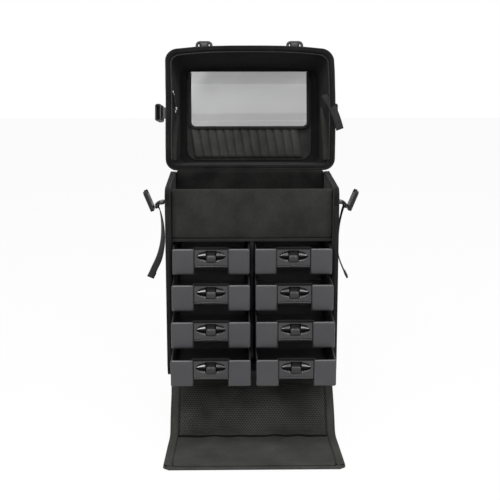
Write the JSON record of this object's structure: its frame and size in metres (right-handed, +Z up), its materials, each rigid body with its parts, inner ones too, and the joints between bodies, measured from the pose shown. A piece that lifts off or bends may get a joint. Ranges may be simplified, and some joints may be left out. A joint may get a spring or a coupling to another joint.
{
  "type": "makeup train case",
  "caption": "Soft-sided rolling makeup case with hinged lid, fold-down front flap, two columns of latching drawers, brush pockets, side straps and a pull handle.",
  "frame": {"origin": "on the floor under the middle of the case body", "axes": "+Z up, -Y towards the front flap and drawers, +X to the viewer's right"},
  "size_m": [0.45, 0.6478, 0.7638],
  "materials": {
    "black_fabric": "matt coated weave",
    "lining": "smooth nylon lining",
    "webbing": "ribbed webbing",
    "drawer_plastic": "satin gloss",
    "black_plastic": "fine grain",
    "rubber": "matt",
    "steel": "plain",
    "tube_metal": "satin",
    "zip_metal": "bright nickel",
    "clear_vinyl": "clear film"
  },
  "bodies": {
    "case": {"base_tray": "black_plastic", "front_feet": "rubber", "wheel_axles": "steel", "bottom_board": "black_fabric", "front_sill": "black_fabric", "left_side_wall": "black_fabric", "right_side_wall": "black_fabric", "back_wall": "black_fabric", "front_panel": "black_fabric", "rack_sides": "black_plastic", "rack_divider": "black_plastic", "rack_shelves": "black_plastic", "rack_top": "black_plastic", "handle_bezel": "black_plastic", "handle_sleeves": "tube_metal"},
    "left_wheel": {"left_wheel": "rubber"},
    "right_wheel": {"right_wheel": "rubber"},
    "pull_handle": {"handle_tubes": "tube_metal", "handle_grip": "black_plastic"},
    "handle_button": {"handle_button": "black_plastic"},
    "lid": {"lid_shell": "black_fabric", "brush_panel": "lining", "brush_slots": "lining", "lid_front_buckles": "black_plastic", "lid_side_buckles": "black_plastic", "carry_handle": "black_fabric", "lid_zip_pulls": "zip_metal"},
    "clear_pocket": {"clear_window": "clear_vinyl", "window_binding": "lining"},
    "flap": {"flap_panel": "black_fabric", "flap_mesh_pocket": "lining", "flap_side_strips": "black_fabric"},
    "left_drawer_1": {"left_drawer_1_tray": "drawer_plastic", "left_drawer_1_latch_plate": "drawer_plastic"},
    "left_drawer_1_latch": {"left_drawer_1_latch_lever": "drawer_plastic"},
    "right_drawer_1": {"right_drawer_1_tray": "drawer_plastic", "right_drawer_1_latch_plate": "drawer_plastic"},
    "right_drawer_1_latch": {"right_drawer_1_latch_lever": "drawer_plastic"},
    "left_drawer_2": {"left_drawer_2_tray": "drawer_plastic", "left_drawer_2_latch_plate": "drawer_plastic"},
    "left_drawer_2_latch": {"left_drawer_2_latch_lever": "drawer_plastic"},
    "right_drawer_2": {"right_drawer_2_tray": "drawer_plastic", "right_drawer_2_latch_plate": "drawer_plastic"},
    "right_drawer_2_latch": {"right_drawer_2_latch_lever": "drawer_plastic"},
    "left_drawer_3": {"left_drawer_3_tray": "drawer_plastic", "left_drawer_3_latch_plate": "drawer_plastic"},
    "left_drawer_3_latch": {"left_drawer_3_latch_lever": "drawer_plastic"},
    "right_drawer_3": {"right_drawer_3_tray": "drawer_plastic", "right_drawer_3_latch_plate": "drawer_plastic"},
    "right_drawer_3_latch": {"right_drawer_3_latch_lever": "drawer_plastic"},
    "left_drawer_4": {"left_drawer_4_tray": "drawer_plastic", "left_drawer_4_latch_plate": "drawer_plastic"},
    "left_drawer_4_latch": {"left_drawer_4_latch_lever": "drawer_plastic"},
    "right_drawer_4": {"right_drawer_4_tray": "drawer_plastic", "right_drawer_4_latch_plate": "drawer_plastic"},
    "right_drawer_4_latch": {"right_drawer_4_latch_lever": "drawer_plastic"},
    "left_strap": {"left_strap": "webbing", "left_strap_buckle": "black_plastic"},
    "right_strap": {"right_strap": "webbing", "right_strap_buckle": "black_plastic"}
  },
  "joints": [
    {"name": "left_wheel_spin", "type": "hinge", "parent": "case", "child": "left_wheel", "pos_m": [-0.147, 0.088, 0.036], "axis": [1, 0, 0], "continuous": true},
    {"name": "right_wheel_spin", "type": "hinge", "parent": "case", "child": "right_wheel", "pos_m": [0.147, 0.088, 0.036], "axis": [1, 0, 0], "continuous": true},
    {"name": "handle_slide", "type": "slide", "parent": "case", "child": "pull_handle", "axis": [0, 0, 1], "range_m": [0, 0.022]},
    {"name": "handle_button_press", "type": "slide", "parent": "pull_handle", "child": "handle_button", "axis": [0, 0, -1], "range_m": [0, 0.002], "stiffness_N_per_m": 600},
    {"name": "lid_hinge", "type": "hinge", "parent": "case", "child": "lid", "pos_m": [0, 0.125, 0.496], "axis": [1, 0, 0], "range_deg": [0, 103]},
    {"name": "clear_pocket_hinge", "type": "hinge", "parent": "lid", "child": "clear_pocket", "pos_m": [0, 0.26479, 0.69875], "axis": [-1, 0, 0], "range_deg": [0, 75]},
    {"name": "flap_hinge", "type": "hinge", "parent": "case", "child": "flap", "pos_m": [0, -0.1255, 0.102], "axis": [-1, 0, 0], "range_deg": [0, 40]},
    {"name": "left_drawer_1_slide", "type": "slide", "parent": "case", "child": "left_drawer_1", "axis": [0, -1, 0], "range_m": [-0.043, 0.137]},
    {"name": "left_drawer_1_latch_pivot", "type": "hinge", "parent": "left_drawer_1", "child": "left_drawer_1_latch", "pos_m": [-0.08185, -0.1428, 0.3623], "axis": [-1, 0, 0], "range_deg": [0, 20], "stiffness_Nm_per_rad": 0.05},
    {"name": "right_drawer_1_slide", "type": "slide", "parent": "case", "child": "right_drawer_1", "axis": [0, -1, 0], "range_m": [-0.043, 0.137]},
    {"name": "right_drawer_1_latch_pivot", "type": "hinge", "parent": "right_drawer_1", "child": "right_drawer_1_latch", "pos_m": [0.08185, -0.1428, 0.3623], "axis": [-1, 0, 0], "range_deg": [0, 20], "stiffness_Nm_per_rad": 0.05},
    {"name": "left_drawer_2_slide", "type": "slide", "parent": "case", "child": "left_drawer_2", "axis": [0, -1, 0], "range_m": [-0.084, 0.096]},
    {"name": "left_drawer_2_latch_pivot", "type": "hinge", "parent": "left_drawer_2", "child": "left_drawer_2_latch", "pos_m": [-0.08185, -0.1838, 0.2988], "axis": [-1, 0, 0], "range_deg": [0, 20], "stiffness_Nm_per_rad": 0.05},
    {"name": "right_drawer_2_slide", "type": "slide", "parent": "case", "child": "right_drawer_2", "axis": [0, -1, 0], "range_m": [-0.084, 0.096]},
    {"name": "right_drawer_2_latch_pivot", "type": "hinge", "parent": "right_drawer_2", "child": "right_drawer_2_latch", "pos_m": [0.08185, -0.1838, 0.2988], "axis": [-1, 0, 0], "range_deg": [0, 20], "stiffness_Nm_per_rad": 0.05},
    {"name": "left_drawer_3_slide", "type": "slide", "parent": "case", "child": "left_drawer_3", "axis": [0, -1, 0], "range_m": [-0.124, 0.056]},
    {"name": "left_drawer_3_latch_pivot", "type": "hinge", "parent": "left_drawer_3", "child": "left_drawer_3_latch", "pos_m": [-0.08185, -0.2238, 0.2353], "axis": [-1, 0, 0], "range_deg": [0, 20], "stiffness_Nm_per_rad": 0.05},
    {"name": "right_drawer_3_slide", "type": "slide", "parent": "case", "child": "right_drawer_3", "axis": [0, -1, 0], "range_m": [-0.124, 0.056]},
    {"name": "right_drawer_3_latch_pivot", "type": "hinge", "parent": "right_drawer_3", "child": "right_drawer_3_latch", "pos_m": [0.08185, -0.2238, 0.2353], "axis": [-1, 0, 0], "range_deg": [0, 20], "stiffness_Nm_per_rad": 0.05},
    {"name": "left_drawer_4_slide", "type": "slide", "parent": "case", "child": "left_drawer_4", "axis": [0, -1, 0], "range_m": [-0.165, 0.015]},
    {"name": "left_drawer_4_latch_pivot", "type": "hinge", "parent": "left_drawer_4", "child": "left_drawer_4_latch", "pos_m": [-0.08185, -0.2648, 0.1718], "axis": [-1, 0, 0], "range_deg": [0, 20], "stiffness_Nm_per_rad": 0.05},
    {"name": "right_drawer_4_slide", "type": "slide", "parent": "case", "child": "right_drawer_4", "axis": [0, -1, 0], "range_m": [-0.165, 0.015]},
    {"name": "right_drawer_4_latch_pivot", "type": "hinge", "parent": "right_drawer_4", "child": "right_drawer_4_latch", "pos_m": [0.08185, -0.2648, 0.1718], "axis": [-1, 0, 0], "range_deg": [0, 20], "stiffness_Nm_per_rad": 0.05},
    {"name": "left_strap_swing", "type": "hinge", "parent": "case", "child": "left_strap", "pos_m": [-0.1733, 0, 0.446], "axis": [0, 1, 0], "range_deg": [0, 25]},
    {"name": "right_strap_swing", "type": "hinge", "parent": "case", "child": "right_strap", "pos_m": [0.1733, 0, 0.446], "axis": [0, -1, 0], "range_deg": [0, 25]}
  ]
}
